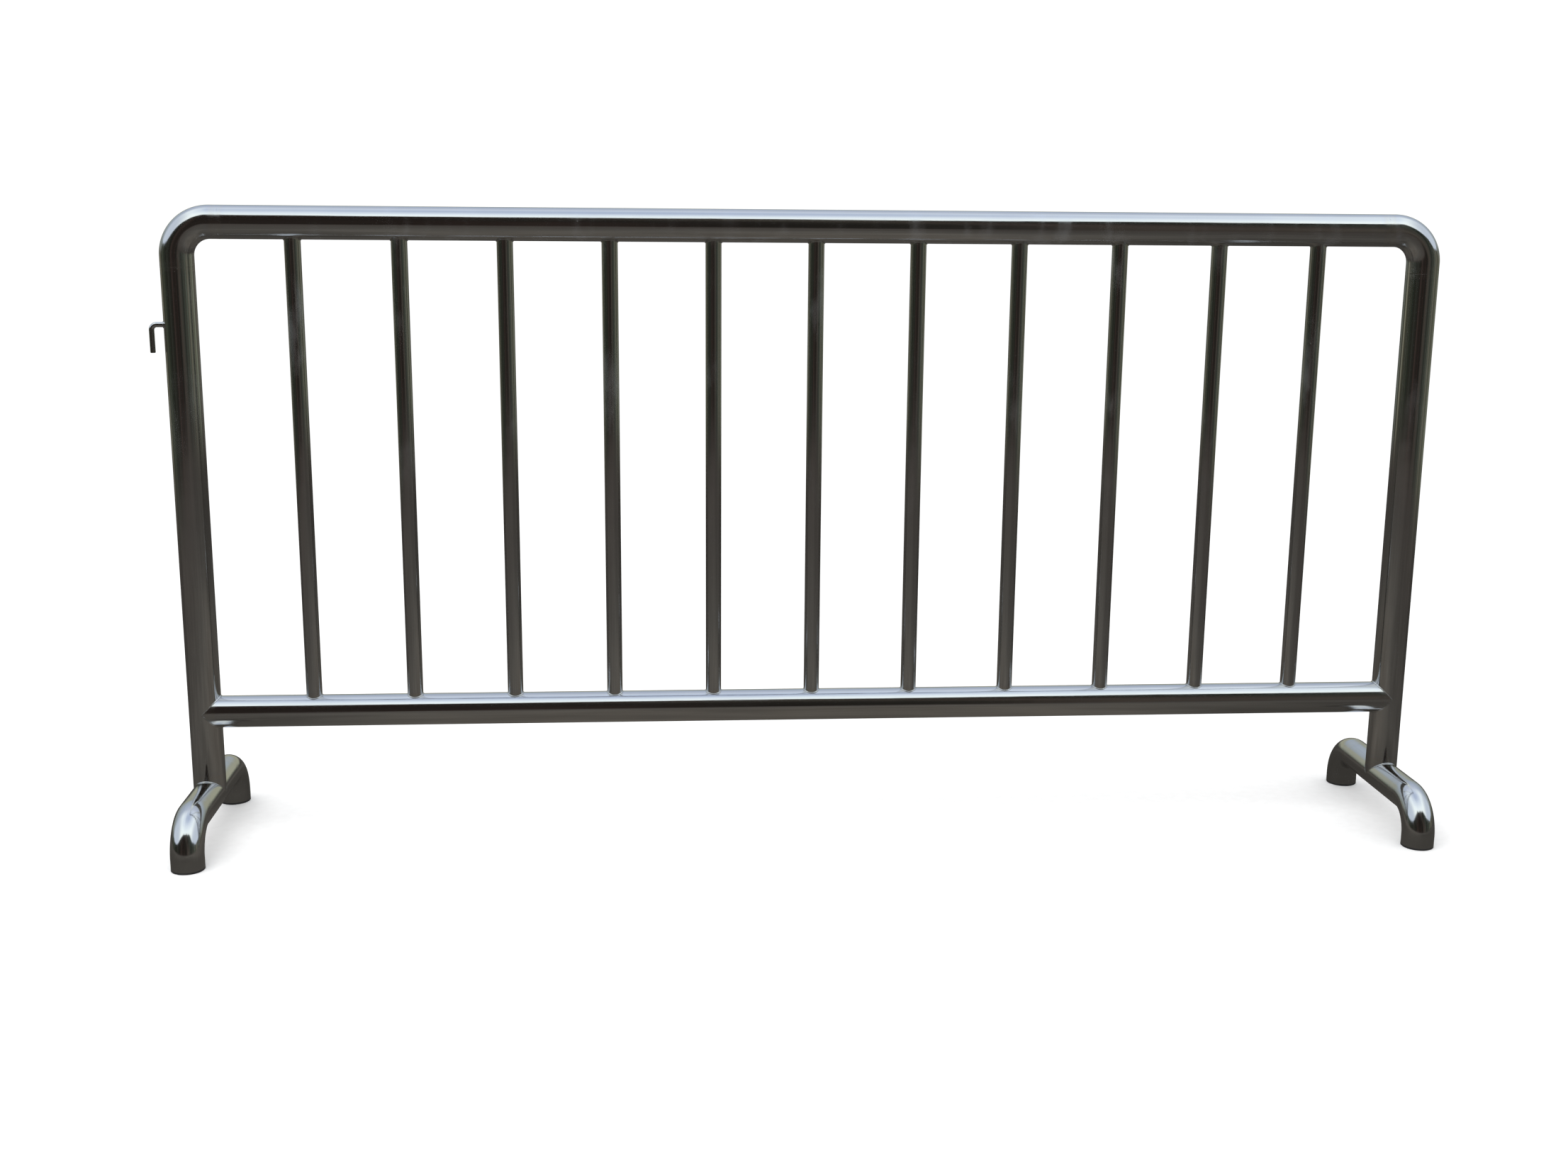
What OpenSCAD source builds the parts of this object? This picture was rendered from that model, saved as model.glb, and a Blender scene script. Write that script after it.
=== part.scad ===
// Crowd control barrier: a welded frame of polished stainless tube that stands on two short feet.
// The floor is the plane z = 0, the length runs along X and the front looks towards -Y.

/* [Overall] */
// Length over the outer faces of the two posts
barrier_length = 2000; // [1500:10:2500]
// Height from the floor to the top of the top rail
barrier_height = 1000; // [800:10:1250]

/* [Frame tube] */
// Outside diameter of the tube for the posts, rails and feet
tube_d = 51; // [42:0.5:64]
// Wall of the frame tube
tube_wall = 1.5; // [1:0.1:3]

/* [Elbows] */
// Bend radius of every elbow, on its centreline
elbow_radius = 51; // [38:1:76]
// Straight length at each end of an elbow
elbow_leg = 15; // [5:1:30]

/* [Infill bars] */
// Number of upright bars between the posts
bar_count = 11; // [7:1:15]
// Outside diameter of a bar
bar_d = 25; // [16:0.5:32]
// Wall of a bar
bar_wall = 1.2; // [0.8:0.1:2]

/* [Bottom rail] */
// Height of the bottom rail's centreline above the floor
bottom_rail_z = 205; // [180:5:300]

/* [Feet] */
// Depth of a foot from its front face to its rear face
foot_depth = 375; // [320:5:600]
// Thickness of the plug's rim, which the barrier stands on
plug_rim = 3; // [2:0.5:6]
// Depth of the plug's stem inside the tube
plug_stem = 12; // [6:1:20]
// Wall of the plug's stem
plug_wall = 2; // [1:0.1:4]
// Gap all round between the plug's stem and the bore of the tube
plug_gap = 0.1; // [0.05:0.05:0.3]
// Bevel round the underside of the plug's rim
plug_bevel = 0.8; // [0.2:0.1:1.5]

/* [Coupling hook] */
// Diameter of the round bar that the hook is bent from
hook_d = 8; // [6:0.5:12]
// How far the hook stands out from the post
hook_reach = 23; // [20:0.5:40]
// Distance from the top of the barrier down to the centreline of the hook's arm
hook_below_top = 180; // [130:5:400]
// Length of the hook's leg, from the arm's centreline to the leg's lower end
hook_leg = 43; // [30:1:80]
// Bend radius of the hook, on its centreline
hook_bend = 8; // [6.5:0.5:12]
// Bevel round the lower end of the hook's leg
hook_bevel = 0.8; // [0.3:0.1:1.5]

/* [Hook slot] */
// Room all round for the next barrier's hook in the slot of the right post
slot_gap = 2; // [1:0.5:4]

/* [Hidden] */
$fn = 96;
// How far a cutting shape runs past the face that it cuts
over = 1;
steel_color = [0.62, 0.62, 0.6];
plastic_color = [0.06, 0.06, 0.06];

// The length of one leg of an elbow, from the corner of its centrelines to its end face
elbow_run = elbow_radius + elbow_leg;

// The hook stands out on the left only, so the middle of the frame lies right of the origin,
// which is the middle of the whole barrier on the floor
middle_x = hook_reach / 2;
post_span = barrier_length - tube_d;
left_post_x = middle_x - post_span / 2;
right_post_x = middle_x + post_span / 2;

// Heights of the centrelines
top_rail_z = barrier_height - tube_d / 2;
foot_tube_z = elbow_run + plug_rim;
hook_z = barrier_height - hook_below_top;

// The four legs stand this far in front of the barrier's plane and behind it
foot_leg_y = (foot_depth - tube_d) / 2;

// The bars leave the same clear gap between each other and to the posts
bar_gap = (post_span - tube_d - bar_count * bar_d) / (bar_count + 1);
bar_pitch = bar_gap + bar_d;

// The hook's leg hangs this far outside the post's centreline
hook_leg_x = tube_d / 2 + hook_reach - hook_d / 2;

// The slot takes the whole hook, from the top of its arm to the lower end of its leg
slot_w = hook_d + 2 * slot_gap;
slot_h = hook_leg + hook_d / 2 + 2 * slot_gap;
slot_bottom_z = hook_z - hook_d / 2 - slot_gap;

function bar_x(i) = left_post_x + tube_d / 2 + i * bar_pitch - bar_d / 2;
function bar_name(i) = str("bar_", i < 10 ? "0" : "", i);

// A round tube that stands on z = 0
module tube(d, wall, length) {
    difference() {
        cylinder(d = d, h = length);
        translate([0, 0, -over]) cylinder(d = d - 2 * wall, h = length + 2 * over);
    }
}

// Turns what points up so that it points along +X
module along_x() {
    rotate([0, 90, 0]) children();
}

// Turns what points up so that it points along +Y
module along_y() {
    rotate([-90, 0, 0]) children();
}

// The outside of the rails, posts and feet as solid bars, which cut the saddles of what meets them
module rail_outline(z) {
    translate([left_post_x, 0, z]) along_x() cylinder(d = tube_d, h = post_span);
}

module post_outline(x) {
    translate([x, 0, 0]) cylinder(d = tube_d, h = barrier_height);
}

module foot_outline(x) {
    translate([x, -foot_leg_y, foot_tube_z]) along_y() cylinder(d = tube_d, h = 2 * foot_leg_y);
}

// A pipe elbow: the corner of its centrelines is at the origin, one leg runs along -X, one down
module elbow() {
    translate([-elbow_run, 0, 0]) along_x() tube(tube_d, tube_wall, elbow_leg);
    translate([-elbow_radius, 0, -elbow_radius]) rotate([90, 0, 0]) rotate_extrude(angle = 90)
        translate([elbow_radius, 0]) difference() {
            circle(d = tube_d);
            circle(d = tube_d - 2 * tube_wall);
        }
    translate([0, 0, -elbow_run]) tube(tube_d, tube_wall, elbow_leg);
}

module top_rail() {
    color(steel_color)
        translate([left_post_x + elbow_run, 0, top_rail_z])
            along_x() tube(tube_d, tube_wall, post_span - 2 * elbow_run);
}

module left_top_elbow() {
    color(steel_color) translate([left_post_x, 0, top_rail_z]) mirror([1, 0, 0]) elbow();
}

module right_top_elbow() {
    color(steel_color) translate([right_post_x, 0, top_rail_z]) elbow();
}

// A post runs from its saddle on the foot tube up to the top elbow
module post(x) {
    difference() {
        translate([x, 0, foot_tube_z])
            tube(tube_d, tube_wall, top_rail_z - elbow_run - foot_tube_z);
        foot_outline(x);
    }
}

module left_post() {
    color(steel_color) post(left_post_x);
}

// The slot with round ends that the next barrier's hook drops into, cut through one wall only
module hook_slot() {
    round_r = slot_w / 2;
    translate([right_post_x, 0, slot_bottom_z]) along_x() {
        for (z = [round_r, slot_h - round_r])
            translate([-z, 0, 0]) cylinder(r = round_r, h = tube_d);
        translate([-slot_h + round_r, -round_r, 0]) cube([slot_h - slot_w, slot_w, tube_d]);
    }
}

module right_post() {
    color(steel_color) difference() {
        post(right_post_x);
        hook_slot();
    }
}

module bottom_rail() {
    color(steel_color) difference() {
        translate([left_post_x, 0, bottom_rail_z]) along_x() tube(tube_d, tube_wall, post_span);
        post_outline(left_post_x);
        post_outline(right_post_x);
    }
}

// A bar ends in a saddle on each rail
module bar(i) {
    color(steel_color) difference() {
        translate([bar_x(i), 0, bottom_rail_z])
            tube(bar_d, bar_wall, top_rail_z - bottom_rail_z);
        rail_outline(bottom_rail_z);
        rail_outline(top_rail_z);
    }
}

// The straight middle of a foot, between its two elbows
module foot_tube(x) {
    half_length = foot_leg_y - elbow_run;
    color(steel_color) translate([x, -half_length, foot_tube_z])
        along_y() tube(tube_d, tube_wall, 2 * half_length);
}

module left_foot_tube() {
    foot_tube(left_post_x);
}

module right_foot_tube() {
    foot_tube(right_post_x);
}

// side is -1 for the front of the barrier and 1 for the rear
module foot_elbow(x, side) {
    color(steel_color) translate([x, side * foot_leg_y, foot_tube_z])
        rotate([0, 0, side * 90]) elbow();
}

module left_front_foot_elbow() {
    foot_elbow(left_post_x, -1);
}

module left_rear_foot_elbow() {
    foot_elbow(left_post_x, 1);
}

module right_front_foot_elbow() {
    foot_elbow(right_post_x, -1);
}

module right_rear_foot_elbow() {
    foot_elbow(right_post_x, 1);
}

// A moulded plug: its rim covers the tube's end and its hollow stem fills the bore
module foot_plug(x, side) {
    stem_d = tube_d - 2 * tube_wall - 2 * plug_gap;
    color(plastic_color) translate([x, side * foot_leg_y, 0]) {
        cylinder(d1 = tube_d - 2 * plug_bevel, d2 = tube_d, h = plug_bevel);
        translate([0, 0, plug_bevel]) cylinder(d = tube_d, h = plug_rim - plug_bevel);
        translate([0, 0, plug_rim]) tube(stem_d, plug_wall, plug_stem);
    }
}

module left_front_foot_plug() {
    foot_plug(left_post_x, -1);
}

module left_rear_foot_plug() {
    foot_plug(left_post_x, 1);
}

module right_front_foot_plug() {
    foot_plug(right_post_x, -1);
}

module right_rear_foot_plug() {
    foot_plug(right_post_x, 1);
}

// A round bar that leaves the left post level and turns down
module coupling_hook() {
    arm_length = hook_leg_x - hook_bend;
    leg_length = hook_leg - hook_bend - hook_bevel;
    color(steel_color) difference() {
        translate([left_post_x, 0, hook_z]) mirror([1, 0, 0]) {
            along_x() cylinder(d = hook_d, h = arm_length);
            translate([arm_length, 0, -hook_bend]) rotate([90, 0, 0]) rotate_extrude(angle = 90)
                translate([hook_bend, 0]) circle(d = hook_d);
            translate([hook_leg_x, 0, -hook_bend - leg_length])
                cylinder(d = hook_d, h = leg_length);
            translate([hook_leg_x, 0, -hook_leg])
                cylinder(d1 = hook_d - 2 * hook_bevel, d2 = hook_d, h = hook_bevel);
        }
        post_outline(left_post_x);
    }
}

top_rail();
left_top_elbow();
right_top_elbow();
left_post();
right_post();
bottom_rail();
for (i = [1 : bar_count]) bar(i);
left_foot_tube();
right_foot_tube();
left_front_foot_elbow();
left_rear_foot_elbow();
right_front_foot_elbow();
right_rear_foot_elbow();
left_front_foot_plug();
left_rear_foot_plug();
right_front_foot_plug();
right_rear_foot_plug();
coupling_hook();
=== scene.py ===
# %% [markdown]
# # A crowd control barrier in polished stainless tube
# The barrier is a welded frame: 51 mm tube for the rails, posts and feet, eleven 25 mm bars,
# six pipe elbows, a hook for the next barrier and four black plastic end plugs.
# All of these come from the CAD model and are never moved or reshaped here. This script adds
# what the CAD leaves out, the weld beads and the ground seams at the elbows. It then gives
# every surface its finish and sets the barrier in a plain pale studio.

# %% Load the CAD frame
import math

import bpy
from mathutils import Matrix, Vector


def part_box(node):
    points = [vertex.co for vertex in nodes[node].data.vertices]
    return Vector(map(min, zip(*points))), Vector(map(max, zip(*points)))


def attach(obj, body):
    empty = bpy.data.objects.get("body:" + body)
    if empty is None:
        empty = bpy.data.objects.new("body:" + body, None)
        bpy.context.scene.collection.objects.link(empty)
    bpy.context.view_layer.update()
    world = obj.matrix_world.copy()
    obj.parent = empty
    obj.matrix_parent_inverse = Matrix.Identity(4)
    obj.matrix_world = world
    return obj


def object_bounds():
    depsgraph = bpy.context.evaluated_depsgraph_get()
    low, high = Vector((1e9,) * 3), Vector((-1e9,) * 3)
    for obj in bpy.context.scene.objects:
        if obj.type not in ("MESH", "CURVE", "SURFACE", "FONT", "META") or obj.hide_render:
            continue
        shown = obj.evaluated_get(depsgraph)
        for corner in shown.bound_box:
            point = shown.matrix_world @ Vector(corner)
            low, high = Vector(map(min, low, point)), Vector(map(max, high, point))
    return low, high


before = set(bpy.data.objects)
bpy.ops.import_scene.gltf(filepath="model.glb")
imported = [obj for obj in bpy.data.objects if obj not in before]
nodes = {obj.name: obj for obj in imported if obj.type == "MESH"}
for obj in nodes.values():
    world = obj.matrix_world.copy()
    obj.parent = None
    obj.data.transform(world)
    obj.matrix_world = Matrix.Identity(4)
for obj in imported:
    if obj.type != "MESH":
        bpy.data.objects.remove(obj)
cad_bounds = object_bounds()
print("CAD nodes:", len(nodes))

# %% [markdown]
# ## Reading the frame
# The places of the joints and the sizes of the tubes are read from the CAD nodes, so a longer
# or thicker barrier would still get its welds and finishes in the right places. A tube's box
# gives its centreline and its ends.

# %% Measure the tubes
MM = 0.001


def middle(node):
    """The centre of a CAD node's box."""
    low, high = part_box(node)
    return (low + high) / 2


rail_low, rail_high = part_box("top_rail")
tube_radius = (rail_high.z - rail_low.z) / 2
bar_low, bar_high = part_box("bar_01")
bar_radius = (bar_high.x - bar_low.x) / 2
bars = sorted(name for name in nodes if name.startswith("bar_"))
left_x = middle("left_post").x
right_x = middle("right_post").x
top_z = middle("top_rail").z
low_rail_z = middle("bottom_rail").z
foot_z = middle("left_foot_tube").z
print("tube", round(tube_radius * 2000, 2), "bar", round(bar_radius * 2000, 2), "mm")

# %% [markdown]
# ## The camera
# The eye is just above the height of the top rail, left of the middle and a little under three
# metres away. It looks down and slightly to the right. A camera could be aimed with a Track To
# constraint, but three plain turns also keep the slight lean of a hand-held view. They are
# applied in the order yaw, pitch, roll.

# %% Place the camera
camera_data = bpy.data.cameras.new("camera")
camera_data.lens = 40.89
camera_data.sensor_width = 36.0
camera_data.clip_start = 0.05
camera_data.clip_end = 200.0
camera = bpy.data.objects.new("camera", camera_data)
bpy.context.scene.collection.objects.link(camera)
eye = (-0.25355, -2.80875, 1.01576)
yaw = 0.0778
pitch = -0.2151
roll = 0.0087
turn = Matrix.Rotation(-yaw, 4, "Z")
tilt = Matrix.Rotation(math.pi / 2 + pitch, 4, "X")
level = Matrix.Rotation(roll, 4, "Z")
camera.matrix_world = Matrix.Translation(eye) @ turn @ tilt @ level
bpy.context.scene.camera = camera
bpy.context.scene.view_settings.view_transform = "Standard"
print("camera at", [round(value, 2) for value in eye])

# %% [markdown]
# ## Small helpers for node trees
# A shader is a list of nodes and links. It could be wired by hand, node by node, but then the
# recipe drowns in wiring. These helpers add one node, set or link its inputs and give back the
# output, so that a recipe further down reads like a sum.

# %% Node helpers


def feed(tree, value, socket):
    """Links a socket to an input, or sets the input to a plain value."""
    if isinstance(value, bpy.types.NodeSocket):
        tree.links.new(value, socket)
    else:
        socket.default_value = value


def add(tree, kind, inputs=None, **settings):
    """Adds a node with its settings, and feeds its inputs by name or number."""
    made = tree.nodes.new(kind)
    for name, value in settings.items():
        setattr(made, name, value)
    for name, value in (inputs or {}).items():
        feed(tree, value, made.inputs[name])
    return made


def calc(tree, operation, *values):
    """One Math node."""
    return add(tree, "ShaderNodeMath", dict(enumerate(values)), operation=operation).outputs[0]


# %% [markdown]
# Most of a finish is made of four things: a ramp that turns a number into a colour, a mix of two
# colours, a range of numbers moved to another range, and noise.

# %% Colour and noise helpers
MIX_FACTOR = 0
MIX_A = 6
MIX_B = 7
MIX_RESULT = 2


def ramp(tree, factor, stops):
    """A colour ramp from (place, grey or colour) stops."""
    made = add(tree, "ShaderNodeValToRGB", {0: factor})
    elements = made.color_ramp.elements
    while len(elements) < len(stops):
        elements.new(0.5)
    for element, (place, colour) in zip(elements, stops):
        element.position = place
        if not isinstance(colour, tuple):
            colour = (colour, colour, colour)
        element.color = (*colour, 1.0)
    return made.outputs["Color"]


def blend(tree, factor, a, b, mode="MIX"):
    """Mixes two colours."""
    made = add(tree, "ShaderNodeMix", data_type="RGBA", blend_type=mode)
    feed(tree, factor, made.inputs[MIX_FACTOR])
    for value, socket in ((a, made.inputs[MIX_A]), (b, made.inputs[MIX_B])):
        if isinstance(value, tuple) and len(value) == 3:
            value = (*value, 1.0)
        feed(tree, value, socket)
    return made.outputs[MIX_RESULT]


def spread(tree, value, low, high, new_low=0.0, new_high=1.0, smooth=True):
    """Maps a range of values to another, held at its ends."""
    made = add(tree, "ShaderNodeMapRange", {0: value, 1: low, 2: high, 3: new_low, 4: new_high})
    made.interpolation_type = "SMOOTHSTEP" if smooth else "LINEAR"
    return made.outputs[0]


def noise(tree, vector, scale, detail=3.0, roughness=0.5):
    """A noise value around 0.5."""
    inputs = {"Vector": vector, "Scale": scale, "Detail": detail, "Roughness": roughness}
    return add(tree, "ShaderNodeTexNoise", inputs).outputs[0]


def stretch(tree, vector, scale):
    """Scales a vector axis by axis."""
    return add(tree, "ShaderNodeMapping", {"Vector": vector, "Scale": scale}).outputs[0]


# %% [markdown]
# ## What the steel reflects
# Polished steel has almost no colour of its own: it shows what stands around it. A plain white
# room would make it look like plastic, so the studio keeps its white walls for the camera and the
# diffuse light, and shows the steel a surround of its own: a bright sky, a dark line of
# trees round the horizon with a clean upper edge, and a grey yard. The world's Light Path node
# tells the two apart. Real card and cloth round the barrier would do it too, but would show in
# other views. The world isn't sampled as a lamp, or its white walls would also light up the
# steel.

# %% Directions in the surround
world = bpy.data.worlds.new("studio")
bpy.context.scene.world = world
world.use_nodes = True
world.cycles.sampling_method = "NONE"
sky = world.node_tree
sky.nodes.clear()


def up(degrees):
    """A ramp place for a direction so many degrees above the horizon."""
    return 0.5 + 0.5 * math.sin(math.radians(degrees))


heading = add(sky, "ShaderNodeTexCoord").outputs["Generated"]
heading_parts = add(sky, "ShaderNodeSeparateXYZ", {0: heading}).outputs
wobble = spread(sky, noise(sky, heading, 5.0, 4.0), 0.2, 0.8, -0.022, 0.022, smooth=False)
height = calc(sky, "MULTIPLY_ADD", heading_parts[2], 0.5, 0.5)
rough_height = calc(sky, "ADD", height, wobble)
print("ramp places of 0, 45 and 90 degrees:", [round(up(angle), 3) for angle in (0, 45, 90)])

# %% [markdown]
# On the camera's side the sky is white above the trees and bluer overhead. The tops of the
# rails and the outside of the bends mirror this part, as one broad pale band. Its lower edge
# is the skyline: high straight ahead, lower to either side.

# %% The sky in front
front_sky = ramp(sky, height, [
    (up(44), (1.34, 1.46, 1.46)),
    (up(54), (1.28, 1.42, 1.47)),
    (up(70), (0.98, 1.11, 1.27)),
    (up(90), (0.62, 0.73, 0.96)),
])
aside = calc(sky, "ABSOLUTE", heading_parts[0])
skyline = ramp(sky, aside, [
    (0.00, up(49)),
    (0.25, up(47)),
    (0.41, up(42)),
    (0.50, up(37)),
    (0.64, up(27)),
    (0.86, up(15)),
    (1.00, up(10)),
])
over_trees = calc(sky, "SUBTRACT", rough_height, skyline)
tree_top = spread(sky, over_trees, -0.006, 0.006)
paler = spread(sky, aside, 0.45, 0.80)
front_sky = blend(sky, paler, front_sky, (0.76, 0.86, 1.00))
print("nodes after the front sky:", len(sky.nodes))

# %% [markdown]
# The sky behind the barrier is a duller blue-grey, with a pale sunlit patch low down straight
# behind. The feet run towards it, so their upper sides mirror mostly this patch.

# %% The sky behind
rear_sky = ramp(sky, rough_height, [
    (up(2), (0.22, 0.24, 0.22)),
    (up(10), (0.34, 0.38, 0.37)),
    (up(24), (0.45, 0.52, 0.59)),
    (up(45), (0.56, 0.65, 0.82)),
    (up(66), (0.72, 0.80, 0.97)),
    (up(90), (0.62, 0.73, 0.96)),
])
low_down = spread(sky, rough_height, up(24), up(13))
sunlit = calc(sky, "MULTIPLY", spread(sky, aside, 0.60, 0.35), low_down)
rear_sky = blend(sky, sunlit, rear_sky, (0.43, 0.44, 0.34))
print("nodes after both skies:", len(sky.nodes))

# %% [markdown]
# The dark belt goes right round the horizon. Upright tubes squeeze all of it into their width,
# which gives posts and bars their long streaks: almost black with a touch of brown in front,
# dark green to the left, and a paler yellow-green at the sides, where light comes through.
# Noise that is stretched upright stands for trunks and gaps.

# %% The belt of trees
turn_round = calc(sky, "ARCTAN2", heading_parts[0], calc(sky, "MULTIPLY", heading_parts[1], -1.0))
bearing = calc(sky, "MULTIPLY_ADD", turn_round, 0.5 / math.pi, 0.5)
belt_light = ramp(sky, bearing, [
    (0.00, 0.11),
    (0.10, 0.10),
    (0.17, 0.14),
    (0.24, 0.055),
    (0.40, 0.035),
    (0.50, 0.032),
    (0.60, 0.045),
    (0.70, 0.075),
    (0.79, 0.15),
    (0.87, 0.09),
    (1.00, 0.11),
])
flat_heading = stretch(sky, heading, (1.0, 1.0, 0.10))
trunks = spread(sky, noise(sky, flat_heading, 2.7, 2.6, 0.52), 0.34, 0.68, smooth=False)
streaks = calc(sky, "MULTIPLY_ADD", calc(sky, "POWER", trunks, 2.0), 1.7, 0.50)
belt_tint = ramp(sky, bearing, [
    (0.00, (0.98, 0.99, 0.92)),
    (0.17, (1.00, 1.04, 0.80)),
    (0.27, (0.84, 1.02, 0.76)),
    (0.36, (0.98, 0.98, 0.82)),
    (0.44, (1.20, 0.92, 0.83)),
    (0.53, (1.10, 0.96, 0.86)),
    (0.60, (0.90, 1.01, 0.88)),
    (0.79, (1.01, 1.04, 0.80)),
    (1.00, (0.98, 0.99, 0.92)),
])
leafy = blend(sky, spread(sky, noise(sky, flat_heading, 3.9, 2.0), 0.42, 0.58),
              (1.09, 0.98, 0.94), (0.94, 1.01, 0.96))
belt_tint = blend(sky, 1.0, belt_tint, leafy, "MULTIPLY")
belt = blend(sky, 1.0, blend(sky, 1.0, belt_light, belt_tint, "MULTIPLY"), streaks, "MULTIPLY")
print("nodes with the belt:", len(sky.nodes))

# %% [markdown]
# Last, the belt meets the sky with a sharp edge in front and a soft one behind, and the Light
# Path choice puts the whole surround in reflections only.

# %% The finished surround
front = blend(sky, tree_top, belt, front_sky)
rear = blend(sky, spread(sky, rough_height, up(-1), up(7)), belt, rear_sky)
behind = spread(sky, heading_parts[1], 0.10, 0.50)
surround = blend(sky, behind, front, rear)

walls = add(sky, "ShaderNodeBackground", {"Color": (1.0, 1.0, 1.0, 1.0), "Strength": 1.1})
mirrored = add(sky, "ShaderNodeBackground", {"Color": surround, "Strength": 1.0})
glossy = add(sky, "ShaderNodeLightPath").outputs["Is Glossy Ray"]
choice = add(sky, "ShaderNodeMixShader", {0: glossy, 1: walls.outputs[0], 2: mirrored.outputs[0]})
add(sky, "ShaderNodeOutputWorld", {"Surface": choice.outputs[0]})
print("surround nodes:", len(sky.nodes))

# %% [markdown]
# ## The floor
# One large plain pale floor. A curved studio backdrop would hide the horizon as well, but the
# floor is as white as the walls, so a flat plane is enough.

# %% The floor
FLOOR_SIZE = 80.0
bpy.ops.object.select_all(action="DESELECT")
bpy.ops.mesh.primitive_plane_add(size=FLOOR_SIZE, location=(0.0, 0.0, 0.0))
floor = bpy.context.active_object
floor.name = "floor"
print("floor:", FLOOR_SIZE, "m square")

# %% [markdown]
# In the steel the same floor shows as a grey yard, by the same Light Path choice as in the
# world. The yard is an emission that glows in reflections only and stands for the daylit ground.
# It is lightest a little under a metre out and browner further off. Round the feet it is darker,
# a painted shade where the barrier keeps the light away, and it is darker to the right and
# behind. Beyond a few metres it lets reflections through to the belt of trees. The stretch makes
# distances count a little less along X and Y than they are, and heights not at all.

# %% The floor's finish
YARD_REACH = 5.0
YARD_STRETCH = (0.85, 0.75, 0.0)
floor_finish = bpy.data.materials.new("pale_floor")
floor_finish.use_nodes = True
floor_finish.cycles.emission_sampling = "NONE"
tree = floor_finish.node_tree
tree.nodes.clear()
place = add(tree, "ShaderNodeTexCoord").outputs["Object"]
speckle = spread(tree, noise(tree, place, 60.0, 4.0), 0.3, 0.7, 0.93, 0.96)
pale = add(tree, "ShaderNodeBsdfDiffuse", {"Color": speckle})
distance = add(tree, "ShaderNodeVectorMath", {0: stretch(tree, place, YARD_STRETCH)},
               operation="LENGTH").outputs["Value"]
yard_patch = spread(tree, noise(tree, place, 3.0, 5.0), 0.3, 0.7, 0.85, 1.15)
yard = ramp(tree, calc(tree, "MULTIPLY", distance, 1 / YARD_REACH), [
    (0.00, (0.116, 0.106, 0.093)),
    (0.08, (0.126, 0.115, 0.101)),
    (0.14, (0.132, 0.123, 0.110)),
    (0.22, (0.104, 0.098, 0.089)),
    (0.38, (0.084, 0.077, 0.070)),
    (0.70, (0.086, 0.075, 0.068)),
    (1.00, (0.045, 0.040, 0.036)),
])
place_parts = add(tree, "ShaderNodeSeparateXYZ", {0: place}).outputs
beside_foot = calc(tree, "SUBTRACT", calc(tree, "ABSOLUTE", place_parts[0]), right_x)
from_foot = add(tree, "ShaderNodeCombineXYZ", {0: beside_foot, 1: place_parts[1]}).outputs[0]
from_foot = add(tree, "ShaderNodeVectorMath", {0: stretch(tree, from_foot, (1.0, 0.6, 0.0))},
                operation="LENGTH").outputs["Value"]
# Painted shade in the yard's glow: darker round the feet, and darker to the right and behind.
painted_yard_shade = spread(tree, from_foot, 0.05, 0.45, 0.62, 1.0)
darker_right = spread(tree, place_parts[0], 0.3, 1.0, 1.0, 0.84)
painted_yard_shade = calc(tree, "MULTIPLY", painted_yard_shade, darker_right)
darker_behind = spread(tree, place_parts[1], 0.0, 0.3, 1.0, 0.72)
painted_yard_shade = calc(tree, "MULTIPLY", painted_yard_shade, darker_behind)
yard = blend(tree, 1.0, yard, calc(tree, "MULTIPLY", yard_patch, painted_yard_shade), "MULTIPLY")
grey = add(tree, "ShaderNodeEmission", {"Color": yard})
open_yard = add(tree, "ShaderNodeBsdfTransparent")
far = spread(tree, distance, 2.5, 5.0)
grey = add(tree, "ShaderNodeMixShader", {0: far, 1: grey.outputs[0], 2: open_yard.outputs[0]})
glossy = add(tree, "ShaderNodeLightPath").outputs["Is Glossy Ray"]
choice = add(tree, "ShaderNodeMixShader", {0: glossy, 1: pale.outputs[0], 2: grey.outputs[0]})
add(tree, "ShaderNodeOutputMaterial", {"Surface": choice.outputs[0]})
floor.data.materials.append(floor_finish)
print("floor nodes:", len(tree.nodes))

# %% [markdown]
# ## The studio light
# A large soft box hangs above and to the left, in front of the barrier. It gives the soft
# shadows round the feet. It is hidden from reflections, because a white rectangle in every tube
# would look like a lamp shop, and the surround already gives the steel its bright band.

# %% Soft studio light
SOFTBOX_AIM = Vector((0.0, 0.0, 0.4))
lamp_data = bpy.data.lights.new("softbox", "AREA")
lamp_data.shape = "RECTANGLE"
lamp_data.size = 4.0
lamp_data.size_y = 3.0
lamp_data.energy = 60.0
lamp = bpy.data.objects.new("softbox", lamp_data)
bpy.context.scene.collection.objects.link(lamp)
lamp.location = (-1.2, -1.6, 3.4)
lamp.rotation_euler = (SOFTBOX_AIM - lamp.location).to_track_quat("-Z", "Y").to_euler()
lamp.visible_glossy = False
print("softbox:", lamp_data.size, "by", lamp_data.size_y, "m")

# %% [markdown]
# ## The polished finish
# Stainless tube is belt polished along its length and then buffed. What is left is a near
# mirror with very fine lines along the tube, a slight waviness of the wall, a little haze, and
# later on finger marks and dust. Next to a weld the heat leaves a faint straw to blue tint, and
# the hand grinder leaves a duller, coarser patch. All of the steel shares this finish, so it is
# one node group; each material only tells it which way the lines run and where the welds are.

# %% Start the polished finish group


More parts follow.
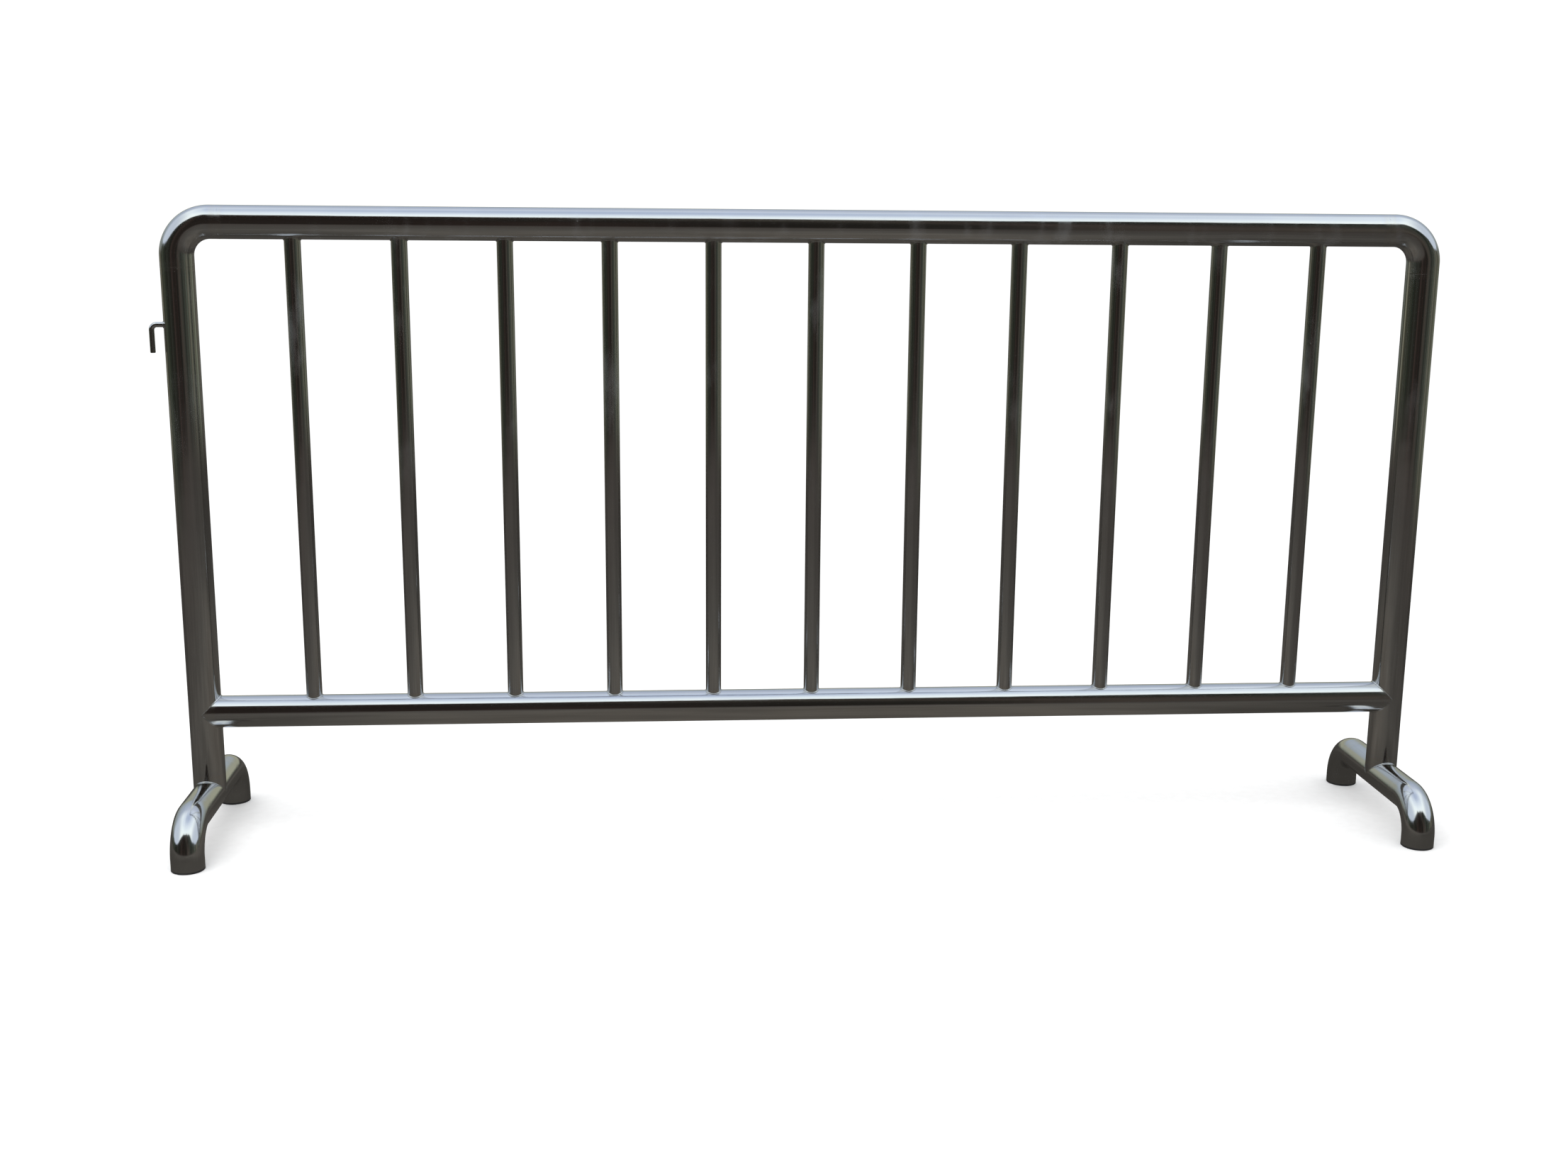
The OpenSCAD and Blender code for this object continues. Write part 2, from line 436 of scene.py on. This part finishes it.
def new_group(name, inputs, outputs):
    """A shader node group, and the sockets of its two end nodes."""
    group = bpy.data.node_groups.new(name, "ShaderNodeTree")
    for label, kind, value in inputs:
        socket = group.interface.new_socket(label, in_out="INPUT", socket_type=kind)
        socket.default_value = value
    for label, kind in outputs:
        group.interface.new_socket(label, in_out="OUTPUT", socket_type=kind)
    start = group.nodes.new("NodeGroupInput").outputs
    end = group.nodes.new("NodeGroupOutput").inputs
    return group, start, end


NUMBER = "NodeSocketFloat"
VECTOR = "NodeSocketVector"
COLOUR = "NodeSocketColor"

polish, given, result = new_group(
    "polished_finish",
    [("Place", VECTOR, (0, 0, 0)), ("Lines", VECTOR, (0, 0, 0)), ("Heat", NUMBER, 0.0),
     ("Ground", NUMBER, 0.0), ("Handled", NUMBER, 0.5), ("Wavy", NUMBER, 1.0)],
    [("Color", COLOUR), ("Metallic", NUMBER), ("Roughness", NUMBER), ("Normal", VECTOR)])

where = given["Place"]
print("finish inputs:", [socket.name for socket in given if socket.name])

# %% [markdown]
# First the marks, each as a mask between 0 and 1. Polishing lines are noise in squeezed
# coordinates. Hands leave smudges high up only, in long wipes, and rarely the same everywhere,
# so one noise draws the wipes and a broader one says where they are. Dust is dots from a
# Voronoi texture, thinned out by noise.

# %% Lines, smudges and dust
fine_lines = noise(polish, given["Lines"], 1.0, 5.0, 0.65)
broad_lines = noise(polish, stretch(polish, given["Lines"], (0.6, 0.16, 0.16)), 1.0, 3.0)
haze = spread(polish, noise(polish, where, 7.0, 4.0, 0.6), 0.38, 0.72)
wiped = stretch(polish, where, (1.0, 1.0, 0.30))
grip = spread(polish, noise(polish, wiped, 34.0, 3.0, 0.50), 0.48, 0.74)
gripped = spread(polish, noise(polish, where, 5.5, 2.0), 0.43, 0.58)
hand_height = add(polish, "ShaderNodeSeparateXYZ", {0: where}).outputs[2]
reached = calc(polish, "MULTIPLY", spread(polish, hand_height, 0.45, 0.80), given["Handled"])
smudge = calc(polish, "MULTIPLY", calc(polish, "MULTIPLY", grip, gripped), reached)
dots = add(polish, "ShaderNodeTexVoronoi", {"Vector": where, "Scale": 210.0}).outputs["Distance"]
dusty = spread(polish, noise(polish, where, 11.0, 2.0), 0.45, 0.65)
dust = calc(polish, "MULTIPLY", spread(polish, dots, 0.16, 0.07), dusty)
print("mark nodes:", len(polish.nodes))

# %% [markdown]
# The colour of stainless steel is a slightly warm grey. Heat next to a weld tints it blue, then
# purple, then straw towards the seam, here at under a tenth of full strength, since the tint
# has been polished away almost everywhere. A film of grease or dust is not metal, so under it the
# surface is a little less metallic.

# %% The colour of the steel
bare = blend(polish, fine_lines, (0.600, 0.598, 0.590), (0.715, 0.708, 0.695))
bare = blend(polish, calc(polish, "MULTIPLY", haze, 0.35), bare, (0.58, 0.585, 0.60))
heat_colours = ramp(polish, given["Heat"], [
    (0.00, (0.66, 0.655, 0.64)),
    (0.25, (0.50, 0.56, 0.68)),
    (0.45, (0.56, 0.47, 0.52)),
    (0.62, (0.66, 0.53, 0.36)),
    (0.80, (0.70, 0.64, 0.50)),
    (1.00, (0.64, 0.63, 0.62)),
])
tinted = blend(polish, spread(polish, given["Heat"], 0.0, 0.25, 0.0, 0.09), bare, heat_colours)
marked = blend(polish, calc(polish, "MULTIPLY", smudge, 0.25), tinted, (0.62, 0.67, 0.76))
feed(polish, blend(polish, calc(polish, "MULTIPLY", dust, 0.3), marked, (0.50, 0.48, 0.44)),
     result["Color"])

film = calc(polish, "MULTIPLY_ADD", smudge, -0.045, 1.0)
feed(polish, calc(polish, "MULTIPLY_ADD", dust, -0.008, film), result["Metallic"])
print("nodes with colour:", len(polish.nodes))

# %% [markdown]
# Roughness decides how sharp the mirror is: low on polished steel, higher in haze, smudges and
# ground patches. The relief is given in metres and is a fraction of a millimetre: a slow
# waviness of the wall that bends the reflections, and fine lines that blur them across the
# tube. The waviness could be modelled, but the lines are too fine for a mesh, so both are a
# bump.

# %% Roughness and relief
WALL_WAVE = 0.00040
LINE_DEPTH = 0.0000030
BAND_DEPTH = 0.000012
SCRATCH_DEPTH = 0.0000060
SCRATCHES = (900.0, 900.0, 900.0)
rough = spread(polish, fine_lines, 0.3, 0.7, 0.065, 0.130, smooth=False)
rough = calc(polish, "MULTIPLY_ADD", haze, 0.045, rough)
rough = calc(polish, "MULTIPLY_ADD", smudge, 0.13, rough)
rough = calc(polish, "MULTIPLY_ADD", given["Ground"], 0.07, rough)
feed(polish, calc(polish, "MULTIPLY_ADD", dust, 0.12, rough), result["Roughness"])

wave = noise(polish, where, 13.0, 2.0, 0.4)
scratch = noise(polish, stretch(polish, where, SCRATCHES), 1.0, 3.0, 0.6)
relief = calc(polish, "MULTIPLY", calc(polish, "MULTIPLY", wave, WALL_WAVE), given["Wavy"])
relief = calc(polish, "MULTIPLY_ADD", fine_lines, LINE_DEPTH, relief)
relief = calc(polish, "MULTIPLY_ADD", broad_lines, BAND_DEPTH, relief)
ground_relief = calc(polish, "MULTIPLY", scratch, given["Ground"])
relief = calc(polish, "MULTIPLY_ADD", ground_relief, SCRATCH_DEPTH, relief)
bump = add(polish, "ShaderNodeBump", {"Height": relief, "Distance": 1.0, "Strength": 1.0})
feed(polish, bump.outputs["Normal"], result["Normal"])
print("polished finish nodes:", len(polish.nodes))

# %% [markdown]
# A weld's heat band is a mask that is 1 on the seam and falls to 0 one or two centimetres
# away. It could be painted along every seam, but a distance is enough: each material has up to
# two seams, so the group takes a coordinate and a seam place for each of them and keeps the
# nearer one.

# %% The heat band group
band, given, result = new_group(
    "heat_band",
    [("Place", VECTOR, (0, 0, 0)), ("Along A", NUMBER, 0.0), ("Seam A", NUMBER, 0.0),
     ("Along B", NUMBER, 0.0), ("Seam B", NUMBER, 0.0), ("Width", NUMBER, 0.02)],
    [("Heat", NUMBER), ("Ground", NUMBER)])
off_a = calc(band, "ABSOLUTE", calc(band, "SUBTRACT", given["Along A"], given["Seam A"]))
off_b = calc(band, "ABSOLUTE", calc(band, "SUBTRACT", given["Along B"], given["Seam B"]))
nearer = calc(band, "MINIMUM", off_a, off_b)
ragged = spread(band, noise(band, given["Place"], 55.0, 3.0), 0.2, 0.8, 0.7, 1.3, smooth=False)
nearer = calc(band, "DIVIDE", calc(band, "MULTIPLY", nearer, ragged), given["Width"])
feed(band, spread(band, nearer, 1.0, 0.0, smooth=False), result["Heat"])
feed(band, spread(band, nearer, 0.75, 0.35), result["Ground"])
print("heat band nodes:", len(band.nodes))

# %% [markdown]
# ## Steel for the straight tubes
# The lines follow the tube, so the material squeezes Object coordinates hard across the tube
# and hardly at all along it: noise in that space comes out as long thin lines. An image of
# brushed metal would need unwrapping and would show its edges where it repeats.

# %% Material helpers
LINES_ACROSS = 900.0
LINES_ALONG = 5.0
AXES = {"X": 0, "Y": 1, "Z": 2}


def use_group(tree, group, inputs):
    """Places a node group in a material."""
    made = add(tree, "ShaderNodeGroup", node_tree=group)
    for name, value in inputs.items():
        feed(tree, value, made.inputs[name])
    return made.outputs


def start_material(name, metallic):
    """A new material with a Principled shader, and the object's own coordinates."""
    finish = bpy.data.materials.new(name)
    finish.use_nodes = True
    shader = finish.node_tree.nodes["Principled BSDF"]
    shader.inputs["Metallic"].default_value = metallic
    spot = add(finish.node_tree, "ShaderNodeTexCoord").outputs["Object"]
    parts = add(finish.node_tree, "ShaderNodeSeparateXYZ", {0: spot}).outputs
    return finish, finish.node_tree, shader, spot, parts


def wear_polish(tree, shader, **inputs):
    """Feeds the polished finish to a shader."""
    made = use_group(tree, polish, inputs)
    for name in ("Metallic", "Roughness", "Normal"):
        feed(tree, made[name], shader.inputs[name])
    feed(tree, made["Color"], shader.inputs["Base Color"])


def tube_steel(name, axis, seam_a, seam_b, handled=0.5, wavy=1.0, heat_width=0.016):
    """Polished steel whose lines run along one axis, with a weld at each end."""
    finish, tree, shader, spot, parts = start_material(name, 1.0)
    scale = [LINES_ACROSS] * 3
    scale[AXES[axis]] = LINES_ALONG
    along = parts[AXES[axis]]
    heat = use_group(tree, band, {"Place": spot, "Along A": along, "Seam A": seam_a,
                                  "Along B": along, "Seam B": seam_b, "Width": heat_width})
    wear_polish(tree, shader, Place=spot, Lines=stretch(tree, spot, scale), Heat=heat["Heat"],
                Ground=heat["Ground"], Handled=handled, Wavy=wavy)
    return finish


def dress(names, finish):
    """Gives CAD nodes a finish."""
    for name in names:
        for slot in nodes[name].material_slots:
            slot.material = finish


print("lines per metre, across and along:", LINES_ACROSS, LINES_ALONG)

# %% [markdown]
# Each kind of tube gets its own material, because its lines run along its own axis and its
# welds are at its own ends. The top rail and the bars are handled most, the feet least.

# %% Straight tube materials
top_low, top_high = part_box("top_rail")
dress(["top_rail"], tube_steel("top_rail_steel", "X", top_low.x, top_high.x, 0.7))
low_low, low_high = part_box("bottom_rail")
dress(["bottom_rail"], tube_steel("bottom_rail_steel", "X", low_low.x + tube_radius / 2,
                                  low_high.x - tube_radius / 2, 0.4))
post_low, post_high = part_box("left_post")
dress(["left_post", "right_post"], tube_steel("post_steel", "Z", post_high.z,
                                              post_low.z + tube_radius, 0.5))
foot_low, foot_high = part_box("left_foot_tube")
dress(["left_foot_tube", "right_foot_tube"],
      tube_steel("foot_tube_steel", "Y", foot_low.y, foot_high.y, 0.2))
dress(bars, tube_steel("bar_steel", "Z", bar_low.z, bar_high.z, 1.0, 0.8, 0.014))
print("straight tubes dressed:", 6 + len(bars))

# %% [markdown]
# ## Steel for the elbows
# On an elbow the lines go round the bend. Measured from the bend's centre, a point has a
# radius and an angle; angle times bend radius is the distance along the elbow, and the radius
# takes the place of one of the two directions across it. The mirrored elbows share a material
# by taking the distance from the middle of the barrier without its sign. The inside of a bend
# is hard to reach with a belt, so it stays duller there.

# %% The elbow's finish


def elbow_steel(name, side_axis, mirror, centre, seams, handled):
    """Polished steel whose lines follow a bend in the plane of one axis and Z."""
    finish, tree, shader, spot, parts = start_material(name, 1.0)
    across = parts[1 - AXES[side_axis]]
    sideways = calc(tree, "SUBTRACT", parts[AXES[side_axis]], mirror)
    sideways = calc(tree, "ABSOLUTE", sideways)
    out = calc(tree, "SUBTRACT", sideways, centre[0])
    rise = calc(tree, "SUBTRACT", parts[2], centre[1])
    out_part = calc(tree, "MULTIPLY", out, out)
    radius = calc(tree, "SQRT", calc(tree, "MULTIPLY_ADD", rise, rise, out_part))
    angle = calc(tree, "ARCTAN2", rise, out)
    along = calc(tree, "MULTIPLY", angle, centre[2])
    bent = add(tree, "ShaderNodeCombineXYZ", {0: along, 1: radius, 2: across}).outputs[0]
    lines = stretch(tree, bent, (LINES_ALONG, LINES_ACROSS, LINES_ACROSS))
    heat = use_group(tree, band, {"Place": spot, "Along A": sideways, "Seam A": seams[0],
                                  "Along B": parts[2], "Seam B": seams[1], "Width": 0.020})
    inner = spread(tree, radius, centre[2] * 0.95, centre[2] * 0.60, 0.0, 0.8)
    ground = calc(tree, "MAXIMUM", heat["Ground"], inner)
    wear_polish(tree, shader, Place=spot, Lines=lines, Heat=heat["Heat"], Ground=ground,
                Handled=handled, Wavy=1.6)
    return finish


# %% [markdown]
# A pipe elbow has a short straight stretch at each end, where it is welded on. Taking that off
# the distance from the post's centreline to the rail's seam leaves the radius of the bend. The
# lower end of a foot's elbow has a plug and no weld, so its second seam is put out of reach.

# %% Elbow materials
ELBOW_STRAIGHT = 15 * MM
NO_SEAM = -1.0
middle_x = (left_x + right_x) / 2
rail_seam = abs(top_low.x - middle_x)
bend_radius = top_low.x - left_x - ELBOW_STRAIGHT
bend_out = (right_x - left_x) / 2 - bend_radius
bend_rise = top_z - bend_radius
dress(["left_top_elbow", "right_top_elbow"],
      elbow_steel("top_elbow_steel", "X", middle_x, (bend_out, bend_rise, bend_radius),
                  (rail_seam, post_high.z), 0.4))
foot_elbows = [name for name in nodes if name.endswith("foot_elbow")]
foot_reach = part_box("left_front_foot_elbow")[0].y
leg_y = abs(foot_reach) - tube_radius
dress(foot_elbows,
      elbow_steel("foot_elbow_steel", "Y", 0.0, (leg_y - bend_radius, foot_z - bend_radius,
                                                 bend_radius), (foot_high.y, NO_SEAM), 0.2))
print("bend radius:", round(bend_radius / MM, 2), "mm; elbows dressed:", 2 + len(foot_elbows))

# %% [markdown]
# ## The weld beads
# Every joint of the frame is a weld, and the CAD model stops short of them: there, tube simply
# meets tube. Where a bar stands on a rail the bead is a small ring that rides up and down over
# the round rail. It starts as a torus round the bar. Each cross-section is then slid down by
# as much as the rail falls away beneath it, and every second one is pushed out a
# little, which gives the ripples of a bead laid drop by drop. A boolean of two fattened tubes
# would follow the joint too, but leaves ragged faces.

# %% Start and end a ring
import bmesh

SECTIONS = 72
BEAD_SIDES = 8
RIPPLE = 0.08 * MM


def pick(piece, wanted):
    """Selects the vertices, in edit mode, whose place passes a test, and counts them."""
    shape = bmesh.from_edit_mesh(piece.data)
    found = 0
    for vertex in shape.verts:
        chosen = bool(wanted(vertex.co))
        vertex.select_set(chosen)
        found += chosen
    shape.select_flush_mode()
    bmesh.update_edit_mesh(piece.data)
    return found


def start_ring(name, ring_radius, bead_radius):
    """A torus round Z, open in edit mode with nothing selected."""
    bpy.ops.object.select_all(action="DESELECT")
    bpy.ops.mesh.primitive_torus_add(major_segments=SECTIONS, minor_segments=BEAD_SIDES,
                                     major_radius=ring_radius, minor_radius=bead_radius)
    ring = bpy.context.active_object
    ring.name = name
    bpy.context.tool_settings.mesh_select_mode = (True, False, False)
    bpy.ops.object.mode_set(mode="EDIT")
    bpy.ops.mesh.select_all(action="DESELECT")
    return ring


def end_piece(piece):
    """Leaves edit mode and smooths the piece."""
    bpy.ops.mesh.select_all(action="DESELECT")
    bpy.ops.object.mode_set(mode="OBJECT")
    bpy.ops.object.shade_smooth()
    return piece


print("cross-sections in a bead:", SECTIONS)

# %% [markdown]
# The saddle is the curve where a small tube stands on a larger one. At a distance to the side
# of the large tube's top line its surface has fallen by its radius less the square root
# of radius squared less distance squared. All cross-sections at the same distance are selected
# together and slid down by that much.

# %% The saddle bead


def section_of(place):
    """The number of the cross-section that a vertex belongs to."""
    return round(math.atan2(place.y, place.x) / math.tau * SECTIONS) % SECTIONS


def saddle_bead(name, ring_radius, seat_radius, bead_radius, squeeze=1.0):
    """A rippled bead round Z, seated on a tube along X whose top line passes the origin."""
    ring = start_ring(name, ring_radius, bead_radius)
    pick(ring, lambda place: section_of(place) % 2 == 0)
    swell = 1 + RIPPLE / ring_radius
    bpy.ops.transform.resize(value=(swell, swell, 1.0), center_override=(0, 0, 0))
    bpy.ops.transform.translate(value=(0, 0, RIPPLE))
    bpy.ops.mesh.select_all(action="SELECT")
    bpy.ops.transform.resize(value=(1.0, squeeze, 1.0), center_override=(0, 0, 0))
    quarter = SECTIONS // 4
    sections = {}
    for vertex in bmesh.from_edit_mesh(ring.data).verts:
        unsqueezed = Vector((vertex.co.x, vertex.co.y / squeeze, 0))
        number = section_of(unsqueezed) % (2 * quarter)
        sections.setdefault(min(number, 2 * quarter - number), []).append(vertex.index)
    for number, members in sorted(sections.items()):
        sideways = ring_radius * math.sin(number * math.tau / SECTIONS)
        drop = seat_radius - math.sqrt(max(seat_radius ** 2 - sideways ** 2, 0.0))
        shape = bmesh.from_edit_mesh(ring.data)
        shape.verts.ensure_lookup_table()
        for vertex in shape.verts:
            vertex.select_set(False)
        for index in members:
            shape.verts[index].select_set(True)
        bpy.ops.transform.translate(value=(0, 0, -drop))
    return end_piece(ring)


print("ripple:", round(RIPPLE / MM, 3), "mm")

# %% [markdown]
# A finished piece keeps its place in its mesh, with its object at the origin. So a copy is
# turned and moved to its joint and the move is then applied. A bead that would stand past
# the barrier's own box is filed level with it, as a grinder would do.

# %% Place a bead


def set_down(piece, where, turn=(0, 0, 0)):
    """Turns and moves a piece, and keeps its place in its mesh."""
    bpy.ops.object.select_all(action="DESELECT")
    piece.select_set(True)
    bpy.context.view_layer.objects.active = piece
    piece.rotation_euler = turn
    piece.location = where
    bpy.ops.object.transform_apply(location=True, rotation=True, scale=True)
    return piece


def copy_piece(source, name):
    """A copy with its own mesh."""
    made = source.copy()
    made.data = source.data.copy()
    made.name = name
    bpy.context.scene.collection.objects.link(made)
    return made


cad_low, cad_high = cad_bounds


def file_level(piece):
    """Flattens whatever of a bead stands past the barrier's own box."""
    bpy.context.view_layer.objects.active = piece
    bpy.ops.object.mode_set(mode="EDIT")
    for axis in range(3):
        for limit, side in ((cad_low[axis], -1), (cad_high[axis], 1)):
            if pick(piece, lambda place: (place[axis] - limit) * side > 0):
                flat = [1.0, 1.0, 1.0]
                flat[axis] = 0.0
                level_at = [0.0, 0.0, 0.0]
                level_at[axis] = limit
                bpy.ops.transform.resize(value=flat, center_override=level_at)
    bpy.ops.mesh.select_all(action="DESELECT")
    bpy.ops.object.mode_set(mode="OBJECT")
    return piece


beads = []


def fit_bead(pattern, name, where, turn=(0, 0, 0)):
    """Puts a copy of a bead in its place and lets it ride on the frame."""
    made = file_level(set_down(copy_piece(pattern, name), where, turn))
    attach(made, "root")
    beads.append(made)
    return made


print("filed level at:", [round(value, 3) for value in cad_high])

# %% [markdown]
# A bar is welded all round at its foot and at its head. From close by the bead is a thin bright
# ring that is only about a millimetre high. It is modelled once and every bar end gets a copy,
# upside down under the top rail.

# %% Beads at the bar ends
BAR_BEAD_RADIUS = 1.1 * MM
BAR_BEAD_GAP = 0.1 * MM
UPSIDE_DOWN = (math.pi, 0, 0)
bar_bead = saddle_bead("bar_bead", bar_radius + BAR_BEAD_GAP, tube_radius, BAR_BEAD_RADIUS)
for name in bars:
    bar_x = middle(name).x
    fit_bead(bar_bead, name + "_low_weld", (bar_x, 0, low_rail_z + tube_radius))
    fit_bead(bar_bead, name + "_top_weld", (bar_x, 0, top_z - tube_radius), UPSIDE_DOWN)
bpy.data.objects.remove(bar_bead)
print("bar welds:", len(beads))

# %% [markdown]
# The bottom rail meets the posts, and the posts meet the feet, with tubes of the same
# diameter. Their saddle is deeper: the bead starts in a square corner and ends where the two
# surfaces run into each other, so the ring is squeezed there until it is almost flush.

# %% Beads at the post joints
FRAME_BEAD_RADIUS = 1.6 * MM
FRAME_BEAD_PROUD = 0.35 * MM
flush = (tube_radius - FRAME_BEAD_RADIUS + FRAME_BEAD_PROUD) / tube_radius
frame_bead = saddle_bead("frame_bead", tube_radius, tube_radius, FRAME_BEAD_RADIUS, flush)
quarter_turn = math.pi / 2
fit_bead(frame_bead, "left_rail_weld", (left_x + tube_radius, 0, low_rail_z), (0, quarter_turn, 0))
fit_bead(frame_bead, "right_rail_weld", (right_x - tube_radius, 0, low_rail_z),
         (0, -quarter_turn, 0))
fit_bead(frame_bead, "left_foot_weld", (left_x, 0, foot_z + tube_radius), (0, 0, quarter_turn))
fit_bead(frame_bead, "right_foot_weld", (right_x, 0, foot_z + tube_radius), (0, 0, quarter_turn))
bpy.data.objects.remove(frame_bead)
print("with the frame welds:", len(beads))

# %% [markdown]
# The hook's rod is butted on the post and welded round. It is the same saddle again, only
# smaller, lying on its side.

# %% Bead at the hook's root
HOOK_BEAD_RADIUS = 1.5 * MM
HOOK_BEAD_GAP = 0.2 * MM
hook_low, hook_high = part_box("coupling_hook")
rod_radius = (hook_high.y - hook_low.y) / 2
hook_bead = saddle_bead("hook_bead", rod_radius + HOOK_BEAD_GAP, tube_radius, HOOK_BEAD_RADIUS)
fit_bead(hook_bead, "hook_weld", (left_x - tube_radius, 0, hook_high.z - rod_radius),
         (0, -quarter_turn, 0))
bpy.data.objects.remove(hook_bead)
print("saddle welds:", len(beads))

# %% [markdown]
# ## The ground seams at the elbows
# An elbow is butted against its tube, welded round and ground down until the seam is a low,
# wide ring that only shows as a kink in the reflections. It is a torus sunk into the tube and
# widened along it; a slight random shake of its vertices stands for the hand grinding.

# %% Seam rings
SEAM_DEPTH = 0.91 * MM
SEAM_THICK = 1.00 * MM
SEAM_WIDEN = 4.5
GRINDING_SHAKE = 0.02 * MM
seam_ring = start_ring("seam_ring", tube_radius - SEAM_DEPTH, SEAM_THICK)
bpy.ops.mesh.select_all(action="SELECT")
bpy.ops.transform.resize(value=(1.0, 1.0, SEAM_WIDEN), center_override=(0, 0, 0))
bpy.ops.transform.vertex_random(offset=GRINDING_SHAKE, seed=4)
end_piece(seam_ring)
along_x = (0, quarter_turn, 0)
along_y = (quarter_turn, 0, 0)
fit_bead(seam_ring, "left_rail_seam", (top_low.x, 0, top_z), along_x)
fit_bead(seam_ring, "right_rail_seam", (top_high.x, 0, top_z), along_x)
fit_bead(seam_ring, "left_post_seam", (left_x, 0, post_high.z))
fit_bead(seam_ring, "right_post_seam", (right_x, 0, post_high.z))
for side, side_x in (("left", left_x), ("right", right_x)):
    fit_bead(seam_ring, side + "_front_foot_seam", (side_x, foot_low.y, foot_z), along_y)
    fit_bead(seam_ring, side + "_rear_foot_seam", (side_x, foot_high.y, foot_z), along_y)
bpy.data.objects.remove(seam_ring)
print("beads and seams:", len(beads), "faces:", sum(len(piece.data.polygons) for piece in beads))

# %% [markdown]
# ## Steel of the welds
# Bead metal has been molten, so it has no polishing lines. It is cleaned and buffed, but stays
# a little duller than the tube, with a trace of straw colour. The same finish group does it,
# with lines that are equally short in every direction and a heat that comes in patches.

# %% Weld material
weld_steel, tree, shader, spot, parts = start_material("weld_steel", 1.0)
patch = spread(tree, noise(tree, spot, 140.0, 3.0), 0.35, 0.65, 0.72, 1.0)
wear_polish(tree, shader, Place=spot, Lines=stretch(tree, spot, (400.0, 400.0, 400.0)),
            Heat=patch, Ground=0.55, Handled=0.0, Wavy=1.0)
for piece in beads:
    piece.data.materials.clear()
    piece.data.materials.append(weld_steel)
print("welds dressed:", len(beads))

# %% [markdown]
# ## The hook
# The hook is bent from drawn rod: drawing leaves fine lines along it, and it is only brushed,
# not buffed. Its arm is level and its leg hangs down, so the lines run along X near the post
# and along Z near the tip, and the material passes from one to the other in the bend.

# %% Hook material
DRAWN_ACROSS = 1400.0
DRAWN_ALONG = 40.0
MIX_VECTOR_A = 4
MIX_VECTOR_B = 5
MIX_VECTOR_RESULT = 1
hook_steel, tree, shader, spot, parts = start_material("hook_steel", 1.0)
reach = spread(tree, parts[0], hook_low.x, hook_low.x + 4 * rod_radius, 0.0, 1.0)
drawn_level = stretch(tree, spot, (DRAWN_ALONG, DRAWN_ACROSS, DRAWN_ACROSS))
drawn_down = stretch(tree, spot, (DRAWN_ACROSS, DRAWN_ACROSS, DRAWN_ALONG))
drawn = add(tree, "ShaderNodeMix",
            {MIX_FACTOR: reach, MIX_VECTOR_A: drawn_down, MIX_VECTOR_B: drawn_level},
            data_type="VECTOR").outputs[MIX_VECTOR_RESULT]
hook_heat = use_group(tree, band, {"Place": spot, "Along A": parts[0], "Seam A": hook_high.x,
                                   "Along B": parts[0], "Seam B": hook_high.x, "Width": 0.008})
wear_polish(tree, shader, Place=spot, Lines=drawn, Heat=hook_heat["Heat"], Ground=0.8,
            Handled=0.3, Wavy=1.0)
dress(["coupling_hook"], hook_steel)
print("hook rod:", round(2 * rod_radius / MM, 2), "mm")

# %% [markdown]
# ## The end plugs
# The plugs are moulded black plastic with a fine spark texture. Where they stand on the ground
# their rim is scuffed grey and dusty. The scuffs are noise that fades out above the rim's
# lower edge, and they also make the plastic rougher and slightly lower.

# %% Plug material
SCUFF_TOP = 2.4 * MM
SCUFF_FULL = 0.2 * MM
GRAIN_DEPTH = 0.000012
SCUFF_DEPTH = 0.00003
black_plastic, tree, shader, spot, parts = start_material("black_plastic", 0.0)
mould = noise(tree, spot, 1500.0, 2.0)
scuffs = spread(tree, noise(tree, stretch(tree, spot, (1.0, 1.0, 2.5)), 160.0, 5.0, 0.65),
                0.50, 0.66)
worn = calc(tree, "MULTIPLY", scuffs, spread(tree, parts[2], SCUFF_TOP, SCUFF_FULL))
clean = blend(tree, noise(tree, spot, 60.0, 3.0), (0.012, 0.012, 0.013), (0.022, 0.022, 0.023))
feed(tree, blend(tree, calc(tree, "MULTIPLY", worn, 0.7), clean, (0.13, 0.125, 0.115)),
     shader.inputs["Base Color"])
feed(tree, spread(tree, worn, 0.0, 1.0, 0.42, 0.75), shader.inputs["Roughness"])
moulded = calc(tree, "MULTIPLY", mould, GRAIN_DEPTH)
plug_relief = calc(tree, "MULTIPLY_ADD", worn, -SCUFF_DEPTH, moulded)
grain = add(tree, "ShaderNodeBump", {"Height": plug_relief, "Distance": 1.0, "Strength": 1.0})
feed(tree, grain.outputs["Normal"], shader.inputs["Normal"])
plugs = [name for name in nodes if name.endswith("_plug")]
dress(plugs, black_plastic)
print("plugs dressed:", len(plugs))
